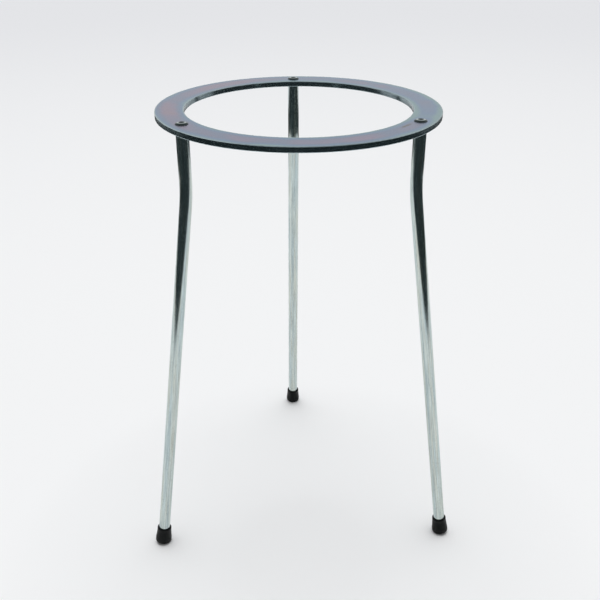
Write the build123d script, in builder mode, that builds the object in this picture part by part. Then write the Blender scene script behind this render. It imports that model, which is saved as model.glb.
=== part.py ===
from build123d import *
from math import atan, cos, radians, sin, tan
import os

# Laboratory tripod stand: a flat ring on three splayed rod legs, riveted over into the ring,
# with a soft cap on each foot. The origin is on the ring's axis at bench level, +Z is up, and
# one leg stands at the rear, on +Y. Millimetres and degrees.

# Ring: one flat plate
RING_OUTER_DIA = 150.0
RING_INNER_DIA = 120.0
RING_THICKNESS = 3.0
RING_EDGE_ROUND = 0.3
STAND_HEIGHT = 253.0  # bench to the ring's top face

# Legs: one bent rod each
LEG_DIA = 6.5
LEG_UPRIGHT = 33.0  # from the ring's underside to the corner that the bend rounds off
LEG_BEND_RADIUS = 100.0  # of the rod's centre line
FOOT_CIRCLE_DIA = 197.0  # where the legs' centre lines meet the bench
LEG_AZIMUTHS = {"front_left": 210.0, "front_right": 330.0, "rear": 90.0}

# Riveted upper ends: a turned-down spigot, spun over into a countersunk hole
SPIGOT_DIA = 4.5
HEAD_DIA = 6.6
HEAD_HEIGHT = 0.9  # above the ring's top face
HEAD_RIM = 0.3  # upright part of the head's edge, below its crown
HEAD_EDGE_ROUND = 0.25
HEAD_DISH_DIA = 3.0  # shallow dish that the riveting tool leaves in the middle
HEAD_DISH_DEPTH = 0.4
HEAD_CREST_ROUND = 0.5  # between the dish and the crown around it
COUNTERSINK_ANGLE = 90.0
RIVET_CLEARANCE = 0.05  # on the radius, all the way up

# Foot caps: soft moulded sleeves with a closed end
CAP_BORE_CLEARANCE = 0.03  # on the radius, around the rod
CAP_WALL = 0.87  # at the mouth
CAP_FLARE = 0.6  # how much further out the band near the closed end stands than the mouth
CAP_LENGTH = 10.4
CAP_FLOOR = 3.0  # thickness under the rod's end
CAP_BAND = 3.4  # height of the full-width band above the closed end
CAP_BOTTOM_ROUND = 1.4
CAP_RIM_ROUND = 0.35
CAP_FLATTENING = 0.15  # how far the soft edge is pressed flat on the bench

# Worked out from the sizes above
RING_UNDERSIDE = STAND_HEIGHT - RING_THICKNESS
LEG_CIRCLE_RADIUS = (RING_OUTER_DIA + RING_INNER_DIA) / 4  # the middle of the plate's width
CORNER_HEIGHT = RING_UNDERSIDE - LEG_UPRIGHT
SPLAY = atan((FOOT_CIRCLE_DIA / 2 - LEG_CIRCLE_RADIUS) / CORNER_HEIGHT)  # radians from upright
CAP_BORE_RADIUS = LEG_DIA / 2 + CAP_BORE_CLEARANCE
CAP_RIM_RADIUS = CAP_BORE_RADIUS + CAP_WALL
CAP_BASE_RADIUS = CAP_RIM_RADIUS + CAP_FLARE
# The rod's end stands where the leaning cap's lowest edge is pressed just flat on the bench.
CAP_DROP = (
    (CAP_FLOOR - CAP_BOTTOM_ROUND) * cos(SPLAY)
    + (CAP_BASE_RADIUS - CAP_BOTTOM_ROUND) * sin(SPLAY)
    + CAP_BOTTOM_ROUND
)
ROD_END_HEIGHT = CAP_DROP - CAP_FLATTENING
ROD_END_RADIUS = LEG_CIRCLE_RADIUS + (CORNER_HEIGHT - ROD_END_HEIGHT) * tan(SPLAY)


def leg_plane(azimuth):
    """The upright plane through a leg: local x runs outwards from the axis, local y upwards."""
    out = radians(azimuth)
    return Plane(origin=(0, 0, 0), x_dir=(cos(out), sin(out), 0), z_dir=(sin(out), -cos(out), 0))


def rod_end_plane(azimuth):
    """A plane along the leg's lower run at the rod's end: local y runs up the rod."""
    leg = leg_plane(azimuth)
    rod_end = leg.from_local_coords((ROD_END_RADIUS, ROD_END_HEIGHT, 0))
    across = leg.x_dir * cos(SPLAY) + leg.y_dir * sin(SPLAY)
    return Plane(origin=rod_end, x_dir=across, z_dir=leg.z_dir)


def make_ring():
    """The flat ring with a countersunk hole for each leg."""
    with BuildPart() as ring:
        with BuildSketch(Plane.XY.offset(RING_UNDERSIDE)):
            Circle(RING_OUTER_DIA / 2)
            Circle(RING_INNER_DIA / 2, mode=Mode.SUBTRACT)
        extrude(amount=RING_THICKNESS)
        fillet(ring.edges().filter_by(GeomType.CIRCLE), RING_EDGE_ROUND)
        with Locations(Plane.XY.offset(STAND_HEIGHT)):
            for azimuth in LEG_AZIMUTHS.values():
                with PolarLocations(LEG_CIRCLE_RADIUS, 1, start_angle=azimuth):
                    CounterSinkHole(
                        radius=SPIGOT_DIA / 2 + RIVET_CLEARANCE,
                        counter_sink_radius=HEAD_DIA / 2 + RIVET_CLEARANCE,
                        counter_sink_angle=COUNTERSINK_ANGLE,
                    )
    return ring


def make_leg(azimuth):
    """One leg: the bent rod, its spigot through the ring and its dished head, all one piece."""
    plane = leg_plane(azimuth)
    shoulder = plane.from_local_coords((LEG_CIRCLE_RADIUS, RING_UNDERSIDE, 0))
    spigot_radius = SPIGOT_DIA / 2
    head_radius = HEAD_DIA / 2
    cone_height = (head_radius - spigot_radius) / tan(radians(COUNTERSINK_ANGLE / 2))
    crown_width = head_radius - HEAD_DISH_DIA / 2
    crown_height = HEAD_HEIGHT - HEAD_RIM
    crown_radius = (crown_width**2 + crown_height**2) / (2 * crown_height)
    dish_radius = ((HEAD_DISH_DIA / 2) ** 2 + HEAD_DISH_DEPTH**2) / (2 * HEAD_DISH_DEPTH)
    with BuildPart() as leg:
        with BuildLine(plane) as run:
            FilletPolyline(
                (LEG_CIRCLE_RADIUS, RING_UNDERSIDE),
                (LEG_CIRCLE_RADIUS, CORNER_HEIGHT),
                (ROD_END_RADIUS, ROD_END_HEIGHT),
                radius=LEG_BEND_RADIUS,
            )
        with BuildSketch(Plane(origin=shoulder, z_dir=(0, 0, -1))):
            Circle(LEG_DIA / 2)
        sweep(path=run.line)
        # Half section of the upper end, with local x = 0 on the upright run's centre line
        upper_end = Plane(origin=shoulder, x_dir=plane.x_dir, z_dir=plane.z_dir)
        with BuildSketch(upper_end) as half_section:
            with BuildLine():
                outline = Polyline(
                    (0, 0),
                    (spigot_radius, 0),
                    (spigot_radius, RING_THICKNESS - cone_height),
                    (head_radius, RING_THICKNESS),
                    (head_radius, RING_THICKNESS + HEAD_RIM),
                )
                crest = (HEAD_DISH_DIA / 2, RING_THICKNESS + HEAD_HEIGHT)
                dish_bottom = (0, RING_THICKNESS + HEAD_HEIGHT - HEAD_DISH_DEPTH)
                RadiusArc(outline @ 1, crest, -crown_radius)
                RadiusArc(crest, dish_bottom, dish_radius)
                Line(dish_bottom, (0, 0))
            make_face()
            for corner, edge_round in ((outline @ 1, HEAD_EDGE_ROUND), (crest, HEAD_CREST_ROUND)):
                fillet(half_section.vertices().sort_by_distance(corner)[0], edge_round)
        revolve(axis=Axis(shoulder, (0, 0, 1)))
    return leg


def make_foot_cap(azimuth):
    """One cap: a flared sleeve on the rod's end, its lowest edge pressed flat on the bench."""
    plane = rod_end_plane(azimuth)
    mouth = CAP_LENGTH - CAP_FLOOR
    with BuildPart() as cap:
        with BuildSketch(plane) as half_section:
            with BuildLine():
                Polyline(
                    (0, -CAP_FLOOR),
                    (CAP_BASE_RADIUS, -CAP_FLOOR),
                    (CAP_BASE_RADIUS, CAP_BAND - CAP_FLOOR),
                    (CAP_RIM_RADIUS, mouth),
                    (CAP_BORE_RADIUS, mouth),
                    (CAP_BORE_RADIUS, 0),
                    (0, 0),
                    close=True,
                )
            make_face()
            bottom_edge = half_section.vertices().sort_by_distance((CAP_BASE_RADIUS, -CAP_FLOOR))[0]
            fillet(bottom_edge, CAP_BOTTOM_ROUND)
            rim_edge = half_section.vertices().sort_by_distance((CAP_RIM_RADIUS, mouth))[0]
            fillet(rim_edge, CAP_RIM_ROUND)
        revolve(axis=Axis(plane.origin, plane.y_dir))
        split(bisect_by=Plane.XY, keep=Keep.TOP)
    return cap


os.makedirs("parts", exist_ok=True)

support_ring = make_ring()
support_ring.part.label = "support_ring"
export_step(support_ring.part, "parts/support_ring.step")

for place, leg_azimuth in LEG_AZIMUTHS.items():
    stand_leg = make_leg(leg_azimuth)
    stand_leg.part.label = f"leg_{place}"
    export_step(stand_leg.part, f"parts/leg_{place}.step")
    foot_cap = make_foot_cap(leg_azimuth)
    foot_cap.part.label = f"foot_cap_{place}"
    export_step(foot_cap.part, f"parts/foot_cap_{place}.step")
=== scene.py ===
"""Laboratory tripod stand: the finish of its zinc plated ring and legs, its foot caps, and a studio.

Everything is in metres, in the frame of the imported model: the ring's axis is Z, the bench is at
z = 0, and one leg stands at the rear, on +Y.
"""

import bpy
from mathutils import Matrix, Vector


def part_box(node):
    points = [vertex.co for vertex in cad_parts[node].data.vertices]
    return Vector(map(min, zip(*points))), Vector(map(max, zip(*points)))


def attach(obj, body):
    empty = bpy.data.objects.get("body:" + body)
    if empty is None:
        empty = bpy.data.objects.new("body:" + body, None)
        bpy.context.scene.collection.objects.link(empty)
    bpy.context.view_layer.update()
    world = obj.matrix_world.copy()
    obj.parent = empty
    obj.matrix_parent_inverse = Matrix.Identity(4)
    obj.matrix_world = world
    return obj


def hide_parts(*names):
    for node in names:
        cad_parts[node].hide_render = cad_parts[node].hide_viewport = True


bl_info = {
    "name": "Laboratory Tripod Stand",
    "version": (1, 0, 0),
    "blender": (4, 5, 0),
    "location": "3D View > Sidebar > Tripod Stand",
    "description": "Finishes a zinc plated tripod stand, models its foot caps and sets it in a studio",
    "category": "Object",
}

from math import cos, pi, radians, sin, tan

import bpy
from bpy.props import FloatProperty, FloatVectorProperty, IntProperty, PointerProperty
from bpy.types import Operator, Panel, PropertyGroup
from mathutils import Matrix, Vector

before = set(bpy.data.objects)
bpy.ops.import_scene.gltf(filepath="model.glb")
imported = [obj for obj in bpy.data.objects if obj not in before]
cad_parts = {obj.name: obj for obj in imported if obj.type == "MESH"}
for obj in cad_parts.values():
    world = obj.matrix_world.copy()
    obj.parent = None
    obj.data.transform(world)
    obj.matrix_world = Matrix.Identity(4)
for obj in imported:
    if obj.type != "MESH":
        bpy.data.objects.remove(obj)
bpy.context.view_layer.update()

MM = 0.001
LEG_AZIMUTHS = {"front_left": 210.0, "front_right": 330.0, "rear": 90.0}

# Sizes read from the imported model
RING_LOW, RING_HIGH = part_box("support_ring")
RING_TOP = RING_HIGH.z
RING_OUTER_RADIUS = RING_HIGH.x
LEG_HEAD_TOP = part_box("leg_rear")[1].z
LEG_RADIUS = 3.25 * MM


def linear(hex_colour):
    """An sRGB hex colour as linear red, green, blue and alpha."""
    channels = [int(hex_colour[i:i + 2], 16) / 255 for i in (1, 3, 5)]
    return [c / 12.92 if c <= 0.04045 else ((c + 0.055) / 1.055) ** 2.4 for c in channels] + [1.0]


def colour(name, description, hex_colour):
    """A colour that the user can change, with its default as sRGB hex."""
    return FloatVectorProperty(
        name=name,
        description=description,
        subtype="COLOR",
        size=4,
        min=0.0,
        max=1.0,
        default=linear(hex_colour),
    )


def length(name, description, millimetres):
    """A length that the user can change, with its default in millimetres."""
    return FloatProperty(name=name, description=description, unit="LENGTH", default=millimetres * MM)


class RingSettings(PropertyGroup):
    """Sizes and colours of the support ring's finish."""

    inner_radius: length("Inner radius", "Radius of the ring's opening", 60.0)
    cloud: length("Colour clouds", "Typical width of a cloud of colour in the passivation", 46.0)
    cloud_shift: FloatVectorProperty(
        name="Cloud shift",
        description="Moves the clouds on the plate",
        subtype="TRANSLATION",
        default=(0.0, 0.0, 0.14),
    )
    edge_round: length("Edge rounding", "Radius of the plate's rounded edges", 0.3)
    streak: length("Edge streak", "Height of a shear mark on the plate's cut edge", 0.35)
    streak_length: length("Streak length", "Length of a shear mark round the cut edge", 9.0)
    grain: length("Grain", "Width of the rolled grain on the flat face", 0.9)
    stain_azimuth: FloatProperty(
        name="Stain azimuth", description="Where the stain lies round the ring, in degrees", default=-40.0
    )
    stain_radius: length("Stain radius", "Distance of the stain from the ring's axis", 65.4)
    stain_width: length("Stain width", "Width of the stain across the plate", 3.4)
    stain_length: length("Stain length", "Length of the stain along the plate", 14.0)
    stain: colour("Stain", "Faint brown stain", "#75695C")
    teal: colour("Teal", "Film colour at the plate's edges", "#95AFB0")
    blue: colour("Blue", "Film colour where the passivation is thin", "#879BB5")
    violet: colour("Violet", "Film colour of the middle tones", "#9096AC")
    mauve: colour("Mauve", "Film colour where the passivation is thick", "#A294A8")
    rose: colour("Rose", "Film colour where the passivation is thickest", "#AD959E")
    # Painted highlight: a bright line along the rounded edge of the flat face
    painted_highlight: colour("Painted edge highlight", "Line rubbed bright along the rounded edge", "#B9C8C9")
    edge_dark: colour("Cut edge, dark", "Sheared steel of the cut edge", "#748489")
    edge_light: colour("Cut edge, light", "Shear marks on the cut edge", "#ACBCC0")


class LegSettings(PropertyGroup):
    """Sizes and colours of the legs' finish."""

    splay: FloatProperty(
        name="Splay",
        description="Lean of the lower run from upright",
        subtype="ANGLE",
        default=radians(8.1301),
    )
    corner_height: length("Corner height", "Height of the corner that the bend rounds off", 217.0)
    circle_radius: length("Leg circle", "Radius on which the legs stand under the ring", 67.5)
    streak_width: length("Streak width", "Width of a draw mark in the rod's plating", 0.6)
    streak_length: length("Streak length", "Length of a draw mark along the rod", 18.0)
    plating: colour("Plating", "Bright zinc plating", "#C7D3D1")
    cool: colour("Cool blotches", "Bluish blotches in the plating", "#BCCBCD")
    warm: colour("Warm blotches", "Yellowish blotches in the plating", "#CDD3CB")
    head_radius: length("Head radius", "Radius of the riveted head", 3.3)
    # Painted light on the riveted head: a painted highlight ring round its crest, and painted shade in its dish
    # and round its foot
    head_painted_highlight: colour("Head", "Metal rubbed bright on the riveted head", "#C9CFCC")
    head_painted_shade: colour("Head painted shade", "Painted shade in the head's dish and round its foot", "#3E4747")


class CapSettings(PropertyGroup):
    """Sizes and colours of the foot caps."""

    base_radius: length("Base radius", "Radius of the wide band at the closed end", 4.72)
    waist_radius: length("Waist radius", "Radius under the lip", 4.09)
    lip_radius: length("Lip radius", "Radius of the rolled lip at the mouth", 4.16)
    bore_radius: length("Bore radius", "Radius of the hole for the rod", 3.28)
    floor: length("Floor", "Thickness of the closed end under the rod", 3.0)
    height: length("Height", "Length of the cap along the rod", 10.4)
    bottom_round: length("Bottom round", "Radius of the edge that stands on the bench", 1.4)
    lip_height: length("Lip height", "Height of the rolled lip", 1.1)
    grain: length("Grain", "Size of the matt grain of the mould", 0.35)
    segments: IntProperty(name="Segments", description="Faces around the cap", default=64)
    rubber: colour("Rubber", "Black moulded rubber", "#060909")


class StageSettings(PropertyGroup):
    """The camera, the light and the studio."""

    camera_distance: length("Camera distance", "Level distance from the ring's axis", 417.16)
    camera_height: length("Camera height", "Height of the camera above the bench", 353.53)
    camera_azimuth: FloatProperty(
        name="Camera azimuth",
        description="Turn of the camera round the ring's axis, to the left of the front",
        subtype="ANGLE",
        default=0.04777,
    )
    camera_yaw: FloatProperty(
        name="Camera yaw",
        description="Turn of the view past the ring's axis",
        subtype="ANGLE",
        default=0.0017,
    )
    camera_pitch: FloatProperty(
        name="Camera pitch",
        description="Tilt of the view below level",
        subtype="ANGLE",
        default=0.47671,
    )
    lens: FloatProperty(name="Lens", description="Focal length in millimetres", default=47.56)
    floor_radius: length("Floor radius", "Radius of the studio floor", 5000.0)
    table_y: length("Table place", "Middle of the oval lit table top, along Y", 125.0)
    table_half_width: length("Table half width", "Half the width of the lit table top", 705.0)
    table_half_depth: length("Table half depth", "Half the depth of the lit table top", 560.0)
    table_fade: FloatProperty(
        name="Table fade",
        description="Share of its size over which the table's edge fades in a reflection",
        subtype="FACTOR",
        default=0.18,
    )
    near_dark_y: length("Near dark place", "Middle of the unlit floor round the table", -330.0)
    near_dark_half_width: length("Near dark half width", "Half its width", 1180.0)
    near_dark_half_depth: length("Near dark half depth", "Half its depth", 1360.0)
    front_dark_y: length("Front dark place", "Middle of the wide unlit floor in front", -1000.0)
    front_dark_half_width: length("Front dark half width", "Half its width", 2400.0)
    front_dark_half_depth: length("Front dark half depth", "Half its depth", 1400.0)
    dark_height: length("Dark floor height", "How far one unlit patch lies above the next", 0.3)
    floor_near: colour("Floor, near", "Pale floor close to the stand", "#F6F7F8")
    floor_far: colour("Floor, far", "Pale floor further away", "#E6E7EA")
    backdrop: colour("Backdrop", "What shows past the floor", "#E0E1E4")
    dark: colour("Dark studio", "Unlit studio round the table", "#31393A")
    sun_strength: FloatProperty(name="Key strength", description="Watts for a square metre", default=1.95)
    sun_angle: FloatProperty(
        name="Key size",
        description="Apparent size of the overhead light",
        subtype="ANGLE",
        default=radians(46),
    )
    ambient: FloatProperty(name="Ambient", description="Strength of the even light", default=0.37)


def add_node(tree, kind, inputs=None, stops=None, **settings):
    """Adds one node with its settings, links or values for its inputs, and a ramp's stops."""
    node = tree.nodes.new(kind)
    for name, value in settings.items():
        setattr(node, name, value)
    for key, value in (inputs or {}).items():
        if isinstance(value, bpy.types.NodeSocket):
            tree.links.new(value, node.inputs[key])
        else:
            node.inputs[key].default_value = value
    for index, (place, shade) in enumerate(stops or []):
        elements = node.color_ramp.elements
        element = elements[index] if index < len(elements) else elements.new(place)
        element.position = place
        element.color = shade
    return node


def empty_material(name):
    """A material with an empty node tree."""
    material = bpy.data.materials.new(name)
    material.use_nodes = True
    material.node_tree.nodes.clear()
    return material


def plated_plate(ring):
    """Zinc plated and passivated steel plate, punched from sheet.

    The passivation is a thin clear film, so clouds of mauve, blue and teal show on the flat face.
    The punched edge is bare of grain and has fine level shear marks.
    """
    material = empty_material("Zinc_plated_plate")
    tree = material.node_tree
    place = add_node(tree, "ShaderNodeTexCoord").outputs["Object"]
    axis = add_node(tree, "ShaderNodeSeparateXYZ", {"Vector": place}).outputs
    level = add_node(tree, "ShaderNodeCombineXYZ", {"X": axis["X"], "Y": axis["Y"]}).outputs[0]
    radius = add_node(tree, "ShaderNodeVectorMath", {0: level}, operation="LENGTH").outputs["Value"]
    middle = (RING_OUTER_RADIUS + ring.inner_radius) / 2
    half_width = (RING_OUTER_RADIUS - ring.inner_radius) / 2
    from_middle = add_node(tree, "ShaderNodeMath", {0: radius, 1: middle}, operation="SUBTRACT").outputs[0]
    distance = add_node(tree, "ShaderNodeMath", {0: from_middle}, operation="ABSOLUTE").outputs[0]
    edge = add_node(
        tree,
        "ShaderNodeMapRange",
        {"Value": distance, "From Min": half_width * 0.25, "From Max": half_width},
        interpolation_type="SMOOTHSTEP",
    ).outputs[0]
    cloud_place = add_node(
        tree, "ShaderNodeVectorMath", {0: place, 1: ring.cloud_shift}, operation="ADD"
    ).outputs[0]
    cloud = add_node(
        tree,
        "ShaderNodeTexNoise",
        {"Vector": cloud_place, "Scale": 1 / ring.cloud, "Detail": 2.0, "Roughness": 0.55, "Distortion": 0.5},
    ).outputs["Fac"]
    toward_right = add_node(
        tree, "ShaderNodeVectorMath", {0: level, 1: (0.97, -0.2, 0.0)}, operation="DOT_PRODUCT"
    ).outputs["Value"]
    film = add_node(
        tree,
        "ShaderNodeMapRange",
        {"Value": toward_right, "From Min": -RING_OUTER_RADIUS, "From Max": RING_OUTER_RADIUS,
         "To Min": 0.72, "To Max": 0.47},
    ).outputs[0]
    spread = add_node(tree, "ShaderNodeMath", {0: cloud, 1: 0.5}, operation="SUBTRACT").outputs[0]
    film = add_node(tree, "ShaderNodeMath", {0: spread, 1: 1.3, 2: film}, operation="MULTIPLY_ADD").outputs[0]
    film = add_node(tree, "ShaderNodeMath", {0: edge, 1: -0.36, 2: film}, operation="MULTIPLY_ADD").outputs[0]
    tint = add_node(
        tree,
        "ShaderNodeValToRGB",
        {"Fac": film},
        stops=[(0.08, ring.teal), (0.32, ring.blue), (0.5, ring.violet), (0.66, ring.mauve), (0.86, ring.rose)],
    ).outputs["Color"]

    # A faint brown stain lies along the plate beside the front right rivet
    stain_turn = radians(ring.stain_azimuth)
    stain_middle = (ring.stain_radius * cos(stain_turn), ring.stain_radius * sin(stain_turn), RING_TOP)
    stain_place = add_node(
        tree,
        "ShaderNodeMapping",
        {"Vector": place, "Location": stain_middle, "Rotation": (0, 0, stain_turn),
         "Scale": (ring.stain_width / 2, ring.stain_length / 2, 1.0)},
        vector_type="TEXTURE",
    ).outputs[0]
    from_stain = add_node(
        tree, "ShaderNodeVectorMath", {0: stain_place}, operation="LENGTH"
    ).outputs["Value"]
    ragged = add_node(
        tree,
        "ShaderNodeTexNoise",
        {"Vector": place, "Scale": 1 / ring.stain_width, "Detail": 3.0, "Roughness": 0.6},
    ).outputs["Fac"]
    from_stain = add_node(
        tree, "ShaderNodeMath", {0: ragged, 1: 1.2, 2: from_stain}, operation="MULTIPLY_ADD"
    ).outputs[0]
    stained = add_node(
        tree,
        "ShaderNodeMapRange",
        {"Value": from_stain, "From Min": 1.5, "From Max": 0.8, "To Max": 0.8},
        interpolation_type="SMOOTHSTEP",
    ).outputs[0]
    tint = add_node(
        tree, "ShaderNodeMixRGB", {"Fac": stained, "Color1": tint, "Color2": ring.stain}
    ).outputs[0]

    # A painted highlight runs as a bright line along the rounded edge, and the cut edge lies past it
    painted_highlight = add_node(
        tree,
        "ShaderNodeMapRange",
        {"Value": distance, "From Min": half_width - 2.6 * ring.edge_round,
         "From Max": half_width - 1.2 * ring.edge_round, "To Max": 0.75},
        interpolation_type="SMOOTHSTEP",
    ).outputs[0]
    tint = add_node(
        tree, "ShaderNodeMixRGB", {"Fac": painted_highlight, "Color1": tint, "Color2": ring.painted_highlight}
    ).outputs[0]
    cut = add_node(
        tree,
        "ShaderNodeMapRange",
        {"Value": distance, "From Min": half_width - 0.3 * ring.edge_round,
         "From Max": half_width - 0.05 * ring.edge_round},
        interpolation_type="SMOOTHSTEP",
    ).outputs[0]
    marks_place = add_node(
        tree,
        "ShaderNodeVectorMath",
        {0: place, 1: (1 / ring.streak_length, 1 / ring.streak_length, 1 / ring.streak)},
        operation="MULTIPLY",
    ).outputs[0]
    marks = add_node(
        tree,
        "ShaderNodeTexNoise",
        {"Vector": marks_place, "Scale": 1.0, "Detail": 3.0, "Roughness": 0.6},
    ).outputs["Fac"]
    edge_tint = add_node(
        tree,
        "ShaderNodeValToRGB",
        {"Fac": marks},
        stops=[(0.36, ring.edge_dark), (0.66, ring.edge_light)],
    ).outputs["Color"]
    tint = add_node(
        tree, "ShaderNodeMixRGB", {"Fac": cut, "Color1": tint, "Color2": edge_tint}
    ).outputs[0]
    grain = add_node(
        tree,
        "ShaderNodeTexNoise",
        {"Vector": place, "Scale": 1 / ring.grain, "Detail": 3.0, "Roughness": 0.6},
    ).outputs["Fac"]
    face_roughness = add_node(
        tree,
        "ShaderNodeMapRange",
        {"Value": grain, "From Min": 0.3, "From Max": 0.7, "To Min": 0.25, "To Max": 0.27},
    ).outputs[0]
    roughness = add_node(
        tree,
        "ShaderNodeMapRange",
        {"Value": cut, "To Min": face_roughness, "To Max": 0.14},
    ).outputs[0]
    relief = add_node(tree, "ShaderNodeMath", {0: marks, 1: cut}, operation="MULTIPLY").outputs[0]
    bump = add_node(
        tree,
        "ShaderNodeBump",
        {"Height": relief, "Strength": 0.1, "Distance": 0.03 * MM},
    ).outputs[0]
    metal = add_node(
        tree,
        "ShaderNodeBsdfPrincipled",
        {"Base Color": tint, "Metallic": 1.0, "Roughness": roughness, "Normal": bump},
    )
    add_node(tree, "ShaderNodeOutputMaterial", {"Surface": metal.outputs[0]})
    return material


def plated_rod(leg, azimuth):
    """Drawn steel rod, bright zinc plated.

    Draw marks run along the rod as faint streaks, with cool and warm blotches from the plating
    bath and tiny specks. The riveted head has painted light: a painted highlight ring round its
    crest, with painted shade in its dish and round its foot.
    """
    material = empty_material(f"Zinc_plated_rod_{azimuth:.0f}")
    tree = material.node_tree
    place = add_node(tree, "ShaderNodeTexCoord").outputs["Object"]
    turned = add_node(
        tree,
        "ShaderNodeVectorRotate",
        {"Vector": place, "Angle": -radians(azimuth)},
        rotation_type="Z_AXIS",
    ).outputs[0]
    axis = add_node(tree, "ShaderNodeSeparateXYZ", {"Vector": turned}).outputs
    below = add_node(
        tree, "ShaderNodeMath", {0: leg.corner_height, 1: axis["Z"]}, operation="SUBTRACT"
    ).outputs[0]
    below = add_node(tree, "ShaderNodeMath", {0: below, 1: 0.0}, operation="MAXIMUM").outputs[0]
    out = add_node(
        tree, "ShaderNodeMath", {0: axis["X"], 1: leg.circle_radius}, operation="SUBTRACT"
    ).outputs[0]
    out = add_node(
        tree, "ShaderNodeMath", {0: below, 1: -tan(leg.splay), 2: out}, operation="MULTIPLY_ADD"
    ).outputs[0]
    along = add_node(tree, "ShaderNodeCombineXYZ", {"X": out, "Y": axis["Y"], "Z": axis["Z"]}).outputs[0]
    streak_place = add_node(
        tree,
        "ShaderNodeVectorMath",
        {0: along, 1: (1 / leg.streak_width, 1 / leg.streak_width, 1 / leg.streak_length)},
        operation="MULTIPLY",
    ).outputs[0]
    streaks = add_node(
        tree,
        "ShaderNodeTexNoise",
        {"Vector": streak_place, "Scale": 1.0, "Detail": 4.0, "Roughness": 0.6},
    ).outputs["Fac"]
    blotches = add_node(
        tree,
        "ShaderNodeTexNoise",
        {"Vector": streak_place, "Scale": 0.42, "Detail": 2.0, "Roughness": 0.5},
    ).outputs["Fac"]
    specks = add_node(
        tree,
        "ShaderNodeTexNoise",
        {"Vector": place, "Scale": 1 / (0.7 * MM), "Detail": 2.0, "Roughness": 0.5},
    ).outputs["Fac"]
    tint = add_node(
        tree,
        "ShaderNodeValToRGB",
        {"Fac": blotches},
        stops=[(0.36, leg.cool), (0.5, leg.plating), (0.64, leg.warm)],
    ).outputs["Color"]
    shade = add_node(
        tree,
        "ShaderNodeMapRange",
        {"Value": streaks, "From Min": 0.3, "From Max": 0.7, "To Min": 0.72, "To Max": 1.14},
    ).outputs[0]
    pits = add_node(
        tree,
        "ShaderNodeMapRange",
        {"Value": specks, "From Min": 0.3, "From Max": 0.4, "To Min": 0.8, "To Max": 1.0},
    ).outputs[0]
    shade = add_node(tree, "ShaderNodeMath", {0: shade, 1: pits}, operation="MULTIPLY").outputs[0]
    tint = add_node(tree, "ShaderNodeVectorMath", {0: tint, 3: shade}, operation="SCALE").outputs[0]
    head = add_node(
        tree,
        "ShaderNodeMapRange",
        {"Value": axis["Z"], "From Min": RING_TOP - 0.1 * MM, "From Max": RING_TOP + 0.1 * MM},
    ).outputs[0]
    from_rivet = add_node(tree, "ShaderNodeCombineXYZ", {"X": out, "Y": axis["Y"]}).outputs[0]
    rivet_radius = add_node(
        tree, "ShaderNodeVectorMath", {0: from_rivet}, operation="LENGTH"
    ).outputs["Value"]
    across_head = add_node(
        tree, "ShaderNodeMath", {0: rivet_radius, 1: leg.head_radius}, operation="DIVIDE"
    ).outputs[0]
    # Painted light on the riveted head: a bright painted highlight ring between painted shade in the dish and
    # painted shade round the foot
    head_painted_light = add_node(
        tree,
        "ShaderNodeValToRGB",
        {"Fac": across_head},
        stops=[(0.38, leg.head_painted_shade), (0.56, leg.head_painted_highlight), (0.62, leg.head_painted_highlight), (0.8, leg.head_painted_shade)],
    ).outputs["Color"]
    tint = add_node(
        tree, "ShaderNodeMixRGB", {"Fac": head, "Color1": tint, "Color2": head_painted_light}
    ).outputs[0]
    roughness = add_node(
        tree,
        "ShaderNodeMapRange",
        {"Value": streaks, "From Min": 0.3, "From Max": 0.7, "To Min": 0.08, "To Max": 0.16},
    ).outputs[0]
    bump = add_node(
        tree,
        "ShaderNodeBump",
        {"Height": streaks, "Strength": 0.3, "Distance": 0.03 * MM},
    ).outputs[0]
    metal = add_node(
        tree,
        "ShaderNodeBsdfPrincipled",
        {"Base Color": tint, "Metallic": 1.0, "Roughness": roughness, "Normal": bump},
    )
    add_node(tree, "ShaderNodeOutputMaterial", {"Surface": metal.outputs[0]})
    return material


def moulded_rubber(cap):
    """Black compression moulded rubber: a soft low gloss with the fine matt grain of its mould."""
    material = empty_material("Moulded_rubber")
    tree = material.node_tree
    place = add_node(tree, "ShaderNodeTexCoord").outputs["Object"]
    grain = add_node(
        tree,
        "ShaderNodeTexNoise",
        {"Vector": place, "Scale": 1 / cap.grain, "Detail": 3.0, "Roughness": 0.6},
    ).outputs["Fac"]
    wear = add_node(
        tree,
        "ShaderNodeTexNoise",
        {"Vector": place, "Scale": 1 / (2.5 * MM), "Detail": 3.0, "Roughness": 0.6},
    ).outputs["Fac"]
    roughness = add_node(
        tree,
        "ShaderNodeMapRange",
        {"Value": wear, "From Min": 0.3, "From Max": 0.7, "To Min": 0.32, "To Max": 0.5},
    ).outputs[0]
    bump = add_node(
        tree,
        "ShaderNodeBump",
        {"Height": grain, "Strength": 0.2, "Distance": 0.04 * MM},
    ).outputs[0]
    rubber = add_node(
        tree,
        "ShaderNodeBsdfPrincipled",
        {"Base Color": cap.rubber, "Roughness": roughness, "IOR": 1.5, "Specular IOR Level": 0.15,
         "Normal": bump},
    )
    add_node(tree, "ShaderNodeOutputMaterial", {"Surface": rubber.outputs[0]})
    return material


def painted_floor(stage):
    """Pale matt studio floor: even close to the stand, and a little darker further away."""
    material = empty_material("Matt_painted_floor")
    tree = material.node_tree
    place = add_node(tree, "ShaderNodeTexCoord").outputs["Object"]
    distance = add_node(tree, "ShaderNodeVectorMath", {0: place}, operation="LENGTH").outputs["Value"]
    fade = add_node(
        tree,
        "ShaderNodeMapRange",
        {"Value": distance, "From Min": 0.0, "From Max": 2.4},
        interpolation_type="SMOOTHSTEP",
    ).outputs[0]
    tint = add_node(
        tree,
        "ShaderNodeValToRGB",
        {"Fac": fade},
        stops=[(0.0, stage.floor_near), (1.0, stage.floor_far)],
    ).outputs["Color"]
    matt = add_node(tree, "ShaderNodeBsdfDiffuse", {"Color": tint})
    add_node(tree, "ShaderNodeOutputMaterial", {"Surface": matt.outputs[0]})
    return material


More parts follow.
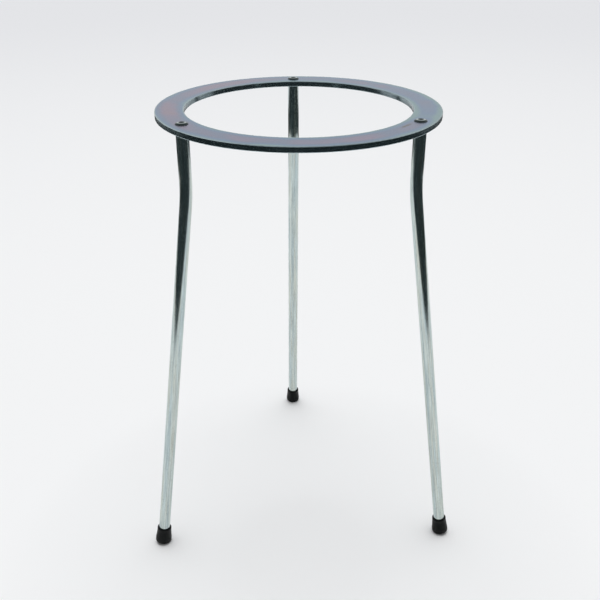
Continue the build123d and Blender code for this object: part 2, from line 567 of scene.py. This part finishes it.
def dark_surround(stage):
    """Unlit studio round the lit table top. Only reflections see it, so it draws the dark bands."""
    material = empty_material("Dark_studio_surround")
    tree = material.node_tree
    place = add_node(tree, "ShaderNodeTexCoord").outputs["Object"]
    table_place = add_node(
        tree,
        "ShaderNodeMapping",
        {"Vector": place, "Location": (0.0, stage.table_y, 0.0),
         "Scale": (stage.table_half_width, stage.table_half_depth, 1.0)},
        vector_type="TEXTURE",
    ).outputs[0]
    from_table = add_node(
        tree, "ShaderNodeVectorMath", {0: table_place}, operation="LENGTH"
    ).outputs["Value"]
    outside = add_node(
        tree,
        "ShaderNodeMapRange",
        {"Value": from_table, "From Min": 1 - stage.table_fade / 2, "From Max": 1 + stage.table_fade / 2},
        interpolation_type="SMOOTHSTEP",
    ).outputs[0]
    clear = add_node(tree, "ShaderNodeBsdfTransparent")
    unlit = add_node(tree, "ShaderNodeEmission", {"Color": stage.dark, "Strength": 1.0})
    mixed = add_node(
        tree, "ShaderNodeMixShader", {0: outside, 1: clear.outputs[0], 2: unlit.outputs[0]}
    )
    add_node(tree, "ShaderNodeOutputMaterial", {"Surface": mixed.outputs[0]})
    return material


def studio_world(stage):
    """Even light, a pale backdrop, and for reflections a lit room with a darker ceiling."""
    world = bpy.data.worlds.new("Studio")
    world.use_nodes = True
    tree = world.node_tree
    tree.nodes.clear()
    path = add_node(tree, "ShaderNodeLightPath").outputs
    direction = add_node(tree, "ShaderNodeTexCoord").outputs["Generated"]
    axis = add_node(tree, "ShaderNodeSeparateXYZ", {"Vector": direction}).outputs
    room = add_node(
        tree,
        "ShaderNodeValToRGB",
        {"Fac": axis["Z"]},
        stops=[(0.0, linear("#D8DCDE")), (0.35, linear("#DADEE0")), (0.62, linear("#B4B8BA")),
               (0.9, linear("#A6AAAC"))],
    ).outputs["Color"]
    sideways = add_node(tree, "ShaderNodeMath", {0: axis["X"]}, operation="ABSOLUTE").outputs[0]
    panel = add_node(
        tree,
        "ShaderNodeMapRange",
        {"Value": sideways, "From Min": 0.62, "From Max": 0.78},
        interpolation_type="SMOOTHSTEP",
    ).outputs[0]
    room = add_node(
        tree, "ShaderNodeMixRGB", {"Fac": panel, "Color1": room, "Color2": (1.0, 1.0, 1.0, 1.0)}
    ).outputs[0]
    even = add_node(
        tree, "ShaderNodeBackground", {"Color": (1.0, 1.0, 1.0, 1.0), "Strength": stage.ambient}
    )
    reflected = add_node(tree, "ShaderNodeBackground", {"Color": room, "Strength": 1.0})
    seen = add_node(tree, "ShaderNodeBackground", {"Color": stage.backdrop, "Strength": 1.0})
    mixed = add_node(
        tree,
        "ShaderNodeMixShader",
        {0: path["Is Glossy Ray"], 1: even.outputs[0], 2: reflected.outputs[0]},
    )
    mixed = add_node(
        tree, "ShaderNodeMixShader", {0: path["Is Camera Ray"], 1: mixed.outputs[0], 2: seen.outputs[0]}
    )
    add_node(tree, "ShaderNodeOutputWorld", {"Surface": mixed.outputs[0]})
    return world


def give_material(node_name, material):
    """Puts one material on all of a CAD node."""
    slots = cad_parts[node_name].material_slots
    for material_slot in slots:
        material_slot.material = material


def deselect_all():
    """Leaves nothing selected, so that an operator acts on the new piece alone."""
    if bpy.context.mode != "OBJECT":
        bpy.ops.object.mode_set(mode="OBJECT")
    bpy.ops.object.select_all(action="DESELECT")


class STAND_OT_finish_ring(Operator):
    """Give the support ring its plated and passivated finish"""

    bl_idname = "stand.finish_ring"
    bl_label = "Finish Ring"

    def execute(self, context):
        give_material("support_ring", plated_plate(context.scene.stand_ring))
        return {"FINISHED"}


class STAND_OT_finish_legs(Operator):
    """Give each leg its drawn and plated finish, with streaks that follow its rod"""

    bl_idname = "stand.finish_legs"
    bl_label = "Finish Legs"

    def execute(self, context):
        for place, azimuth in LEG_AZIMUTHS.items():
            give_material(f"leg_{place}", plated_rod(context.scene.stand_legs, azimuth))
        return {"FINISHED"}


def cap_rings(cap):
    """Radius and height of each ring of the cap, up the outside, over the lip and down the bore."""
    rings = []
    arc_steps = 5
    for step in range(arc_steps + 1):
        turn = pi / 2 * step / arc_steps
        rings.append((
            cap.base_radius - cap.bottom_round * (1 - sin(turn)),
            cap.bottom_round * (1 - cos(turn)),
        ))
    band_top = 3.2 * MM
    lip_low = cap.height - cap.lip_height
    rings.append((cap.base_radius, band_top))
    rings.append((cap.base_radius - 0.05 * MM, band_top + 0.25 * MM))
    rings.append((cap.base_radius - 0.2 * MM, band_top + 0.9 * MM))
    rings.append((cap.waist_radius + 0.1 * MM, lip_low - 1.2 * MM))
    rings.append((cap.waist_radius, lip_low - 0.15 * MM))
    lip_middle = cap.height - cap.lip_height / 2
    lip_reach = cap.lip_radius - cap.waist_radius
    rings.append((cap.waist_radius + lip_reach * 0.7, lip_low + 0.15 * MM))
    rings.append((cap.lip_radius, lip_middle))
    rings.append((cap.lip_radius - 0.06 * MM, cap.height - 0.2 * MM))
    rings.append((cap.lip_radius - 0.28 * MM, cap.height))
    rings.append((cap.bore_radius + 0.2 * MM, cap.height))
    rings.append((cap.bore_radius, cap.height - 0.2 * MM))
    rings.append((cap.bore_radius, cap.floor))
    return rings


def model_cap(cap, name):
    """One cap, upright on the origin, pulled up ring by ring from its closed end."""
    deselect_all()
    rings = cap_rings(cap)
    radius, height = rings[0]
    bpy.ops.mesh.primitive_circle_add(vertices=cap.segments, radius=radius, fill_type="NGON")
    piece = bpy.context.active_object
    piece.name = name
    bpy.ops.object.mode_set(mode="EDIT")
    bpy.ops.mesh.select_mode(type="EDGE")
    bpy.ops.mesh.select_all(action="SELECT")
    for next_radius, next_height in rings[1:]:
        bpy.ops.mesh.extrude_edges_move(TRANSFORM_OT_translate={"value": (0, 0, next_height - height)})
        scale = next_radius / radius
        bpy.ops.transform.resize(value=(scale, scale, 1), center_override=(0, 0, next_height))
        radius, height = next_radius, next_height
    bpy.ops.mesh.edge_face_add()
    bpy.ops.mesh.select_all(action="SELECT")
    bpy.ops.mesh.remove_doubles(threshold=0.001 * MM)
    bpy.ops.mesh.normals_make_consistent(inside=False)
    bpy.ops.object.mode_set(mode="OBJECT")
    return piece


def rod_end(leg, place, azimuth):
    """Middle of the rod's lower end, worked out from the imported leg's lowest and outermost points."""
    radial = Vector((cos(radians(azimuth)), sin(radians(azimuth)), 0))
    points = [vertex.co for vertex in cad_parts[f"leg_{place}"].data.vertices]
    reach = max(point.dot(radial) for point in points)
    lowest = min(point.z for point in points)
    end = radial * (reach - LEG_RADIUS * cos(leg.splay))
    end.z = lowest + LEG_RADIUS * sin(leg.splay)
    return end


class STAND_OT_model_caps(Operator):
    """Model the rubber foot cap and set one on each leg"""

    bl_idname = "stand.model_caps"
    bl_label = "Model Foot Caps"

    def execute(self, context):
        cap = context.scene.stand_caps
        leg = context.scene.stand_legs
        rubber = moulded_rubber(cap)
        for place, azimuth in LEG_AZIMUTHS.items():
            piece = model_cap(cap, f"moulded_foot_cap_{place}")
            lean = Matrix.Rotation(radians(azimuth), 4, "Z") @ Matrix.Rotation(-leg.splay, 4, "Y")
            foot = Matrix.Translation(rod_end(leg, place, azimuth)) @ lean
            piece.matrix_world = foot @ Matrix.Translation((0, 0, -cap.floor))
            bpy.ops.object.transform_apply(location=True, rotation=True, scale=True)
            bpy.ops.object.mode_set(mode="EDIT")
            bpy.ops.mesh.select_all(action="SELECT")
            bpy.ops.mesh.bisect(
                plane_co=(0, 0, 0),
                plane_no=(0, 0, 1),
                clear_inner=True,
                use_fill=True,
                threshold=0.001 * MM,
            )
            bpy.ops.mesh.select_all(action="SELECT")
            bpy.ops.mesh.normals_make_consistent(inside=False)
            bpy.ops.object.mode_set(mode="OBJECT")
            bpy.ops.object.shade_smooth_by_angle(angle=radians(40))
            piece.data.materials.clear()
            piece.data.materials.append(rubber)
            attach(piece, "root")
            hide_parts(f"foot_cap_{place}")
        return {"FINISHED"}


class STAND_OT_set_stage(Operator):
    """Set the floor, the dark studio round it, the light and the camera"""

    bl_idname = "stand.set_stage"
    bl_label = "Set Stage"

    def execute(self, context):
        stage = context.scene.stand_stage
        scene = context.scene
        deselect_all()
        bpy.ops.mesh.primitive_circle_add(vertices=128, radius=stage.floor_radius, fill_type="NGON")
        floor = context.active_object
        floor.name = "studio_floor"
        floor.data.materials.append(painted_floor(stage))

        dark = dark_surround(stage)
        patches = (
            ("dark_studio_near", stage.near_dark_y, stage.near_dark_half_width, stage.near_dark_half_depth),
            ("dark_studio_front", stage.front_dark_y, stage.front_dark_half_width, stage.front_dark_half_depth),
        )
        for layer, (name, y, half_width, half_depth) in enumerate(patches, start=1):
            deselect_all()
            bpy.ops.mesh.primitive_circle_add(
                vertices=128, radius=half_depth, fill_type="NGON", location=(0, y, layer * stage.dark_height)
            )
            surround = context.active_object
            surround.name = name
            surround.scale = (half_width / half_depth, 1, 1)
            bpy.ops.object.transform_apply(location=True, rotation=True, scale=True)
            surround.data.materials.append(dark)
            surround.visible_camera = False
            surround.visible_diffuse = False
            surround.visible_transmission = False
            surround.visible_shadow = False

        deselect_all()
        bpy.ops.object.light_add(type="SUN", location=(0, 0.1, 1), rotation=(radians(-12), 0, 0))
        key = context.active_object
        key.name = "overhead_light"
        key.data.energy = stage.sun_strength
        key.data.angle = stage.sun_angle
        key.visible_glossy = False

        scene.world = studio_world(stage)
        scene.view_settings.view_transform = "Standard"

        deselect_all()
        bpy.ops.object.camera_add(
            location=(
                -stage.camera_distance * sin(stage.camera_azimuth),
                -stage.camera_distance * cos(stage.camera_azimuth),
                stage.camera_height,
            ),
            rotation=(pi / 2 - stage.camera_pitch, 0, -stage.camera_azimuth - stage.camera_yaw),
        )
        camera = context.active_object
        camera.name = "studio_camera"
        camera.data.lens = stage.lens
        camera.data.sensor_width = 36.0
        camera.data.clip_start = 0.01
        camera.data.clip_end = 100.0
        scene.camera = camera
        return {"FINISHED"}


class STAND_PT_sidebar(Panel):
    """Lists the steps that finish the stand"""

    bl_label = "Tripod Stand"
    bl_idname = "STAND_PT_sidebar"
    bl_space_type = "VIEW_3D"
    bl_region_type = "UI"
    bl_category = "Tripod Stand"

    def draw(self, context):
        for operator in OPERATORS:
            self.layout.operator(operator.bl_idname)


OPERATORS = (STAND_OT_finish_ring, STAND_OT_finish_legs, STAND_OT_model_caps, STAND_OT_set_stage)
SETTINGS = {
    "stand_ring": RingSettings,
    "stand_legs": LegSettings,
    "stand_caps": CapSettings,
    "stand_stage": StageSettings,
}


def register():
    for settings in SETTINGS.values():
        bpy.utils.register_class(settings)
    for operator in OPERATORS:
        bpy.utils.register_class(operator)
    bpy.utils.register_class(STAND_PT_sidebar)
    for name, settings in SETTINGS.items():
        setattr(bpy.types.Scene, name, PointerProperty(type=settings))


def unregister():
    for name in SETTINGS:
        delattr(bpy.types.Scene, name)
    bpy.utils.unregister_class(STAND_PT_sidebar)
    for operator in reversed(OPERATORS):
        bpy.utils.unregister_class(operator)
    for settings in reversed(SETTINGS.values()):
        bpy.utils.unregister_class(settings)


def main():
    register()
    bpy.ops.stand.finish_ring()
    bpy.ops.stand.finish_legs()
    bpy.ops.stand.model_caps()
    bpy.ops.stand.set_stage()


if __name__ == "__main__":
    main()
